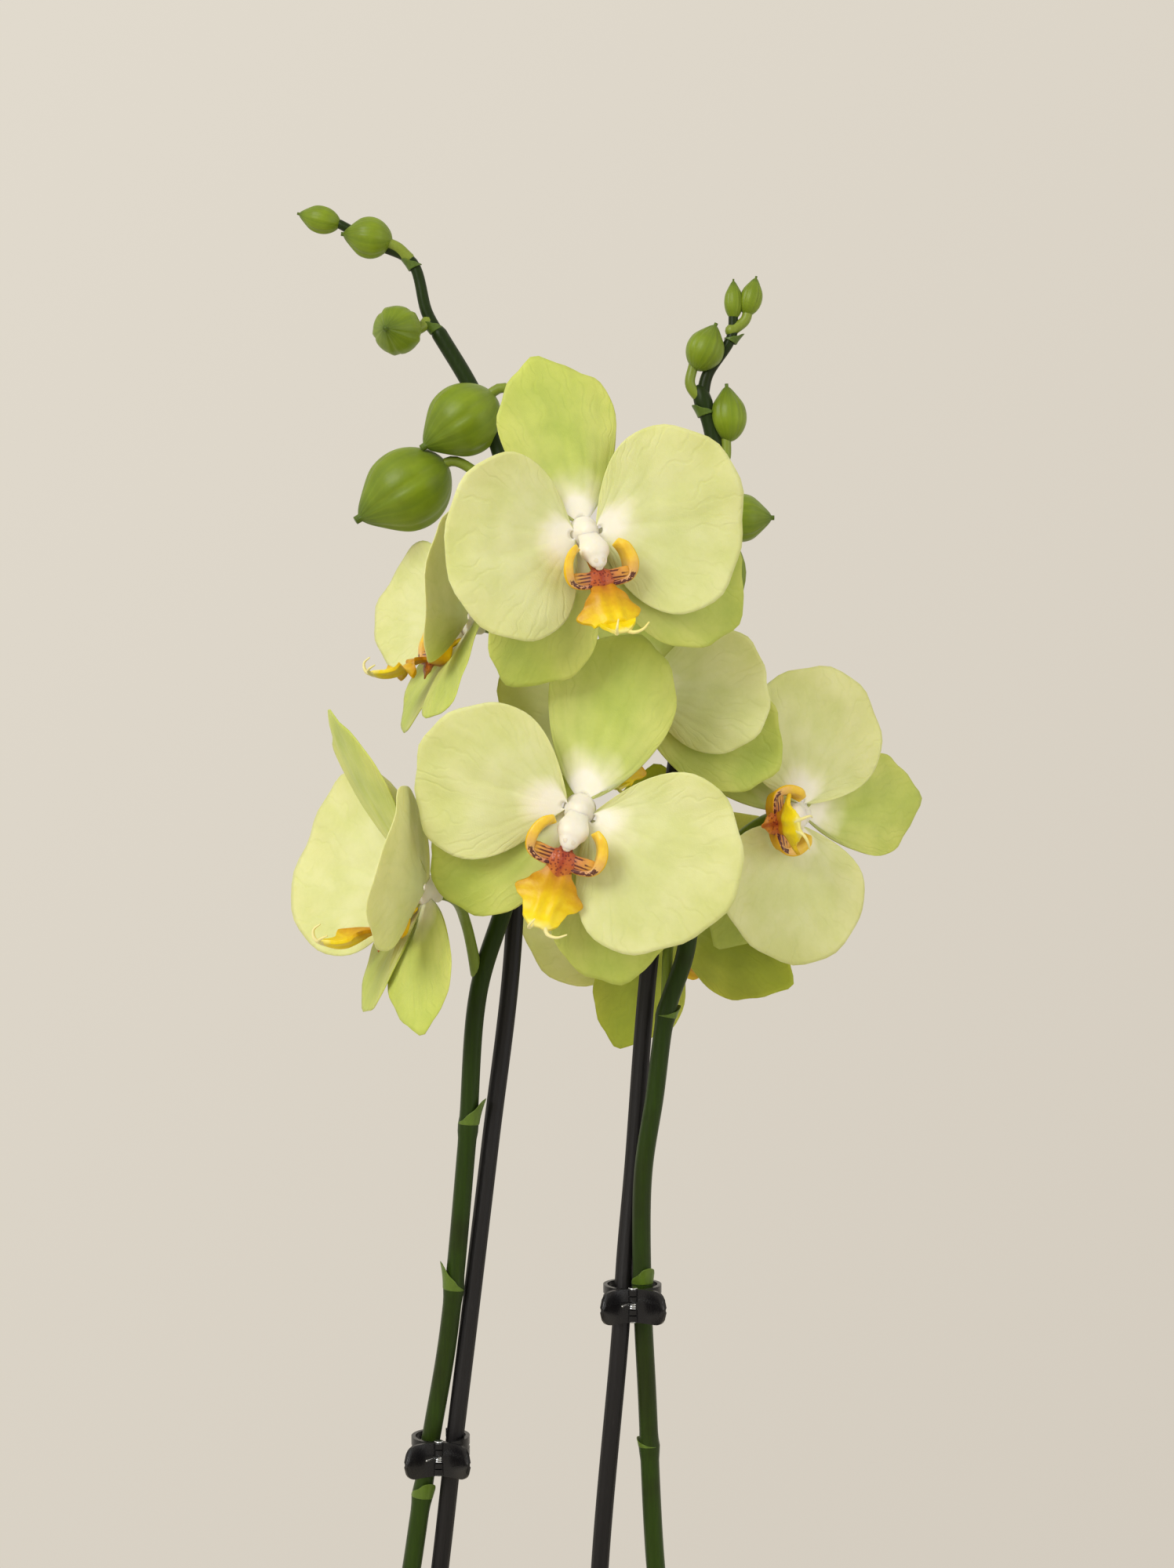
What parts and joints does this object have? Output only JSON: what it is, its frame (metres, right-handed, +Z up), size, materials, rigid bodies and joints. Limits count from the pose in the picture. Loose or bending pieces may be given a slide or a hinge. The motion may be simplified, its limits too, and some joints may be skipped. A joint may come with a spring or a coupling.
{
  "type": "potted orchid",
  "caption": "Moth orchid with pale yellow-green flowers and buds on tall arching spikes, tied to stakes with claw clips, in a plain round pot with strap leaves.",
  "frame": {"origin": "centre of the pot's flat underside", "axes": "+Z up along the pot's axis, +Y away from the side that most flowers face, +X to the right of that side"},
  "size_m": [0.1856, 0.2783, 0.6183],
  "materials": {
    "sepal": "satin plant tissue, yellow-green",
    "petal": "satin plant tissue, pale yellow-green",
    "lip": "waxy plant tissue, yellow with dark red marks",
    "column": "waxy plant tissue, white",
    "stem": "satin plant tissue, green",
    "leaf": "waxy plant tissue, dark green",
    "crown": "plant tissue, green",
    "stake": "dark coated rod, satin",
    "pot": "satin off-white",
    "bark": "rough bark chips",
    "clip": "glossy black",
    "spring_steel": "bright spring wire"
  },
  "bodies": {
    "plant": {"flower_left_1_sepals": "sepal", "flower_left_1_petal_left": "petal", "flower_left_1_petal_right": "petal", "flower_left_1_lip": "lip", "flower_left_1_column": "column", "flower_left_2_sepals": "sepal", "flower_left_2_petal_left": "petal", "flower_left_2_petal_right": "petal", "flower_left_2_lip": "lip", "flower_left_2_column": "column", "flower_left_3_sepals": "sepal", "flower_left_3_petal_left": "petal", "flower_left_3_petal_right": "petal", "flower_left_3_lip": "lip", "flower_left_3_column": "column", "flower_left_4_sepals": "sepal", "flower_left_4_petal_left": "petal", "flower_left_4_petal_right": "petal", "flower_left_4_lip": "lip", "flower_left_4_column": "column", "flower_right_1_sepals": "sepal", "flower_right_1_petal_left": "petal", "flower_right_1_petal_right": "petal", "flower_right_1_lip": "lip", "flower_right_1_column": "column", "flower_right_2_sepals": "sepal", "flower_right_2_petal_left": "petal", "flower_right_2_petal_right": "petal", "flower_right_2_lip": "lip", "flower_right_2_column": "column", "flower_right_3_sepals": "sepal", "flower_right_3_petal_left": "petal", "flower_right_3_petal_right": "petal", "flower_right_3_lip": "lip", "flower_right_3_column": "column", "spike_left": "stem", "spike_right": "stem", "stake_left": "stake", "stake_right": "stake", "pot": "pot", "growing_medium": "bark", "crown": "crown", "leaf_1": "leaf", "leaf_2": "leaf", "leaf_3": "leaf", "leaf_4": "leaf", "leaf_5": "leaf", "leaf_6": "leaf", "clip_left_fixed_jaw": "clip", "clip_left_spring": "spring_steel", "clip_right_fixed_jaw": "clip", "clip_right_spring": "spring_steel"},
    "clip_left_jaw": {"clip_left_swinging_jaw": "clip"},
    "clip_right_jaw": {"clip_right_swinging_jaw": "clip"}
  },
  "joints": [
    {"name": "clip_left_hinge", "type": "hinge", "parent": "plant", "child": "clip_left_jaw", "pos_m": [-0.0276, 0.0021, 0.256], "axis": [0, 0, -1], "range_deg": [0, 30], "stiffness_Nm_per_rad": 0.03, "springref_deg": -34.38},
    {"name": "clip_right_hinge", "type": "hinge", "parent": "plant", "child": "clip_right_jaw", "pos_m": [0.0282, 0.0024, 0.3], "axis": [0, 0, -1], "range_deg": [0, 30], "stiffness_Nm_per_rad": 0.03, "springref_deg": -34.38}
  ]
}
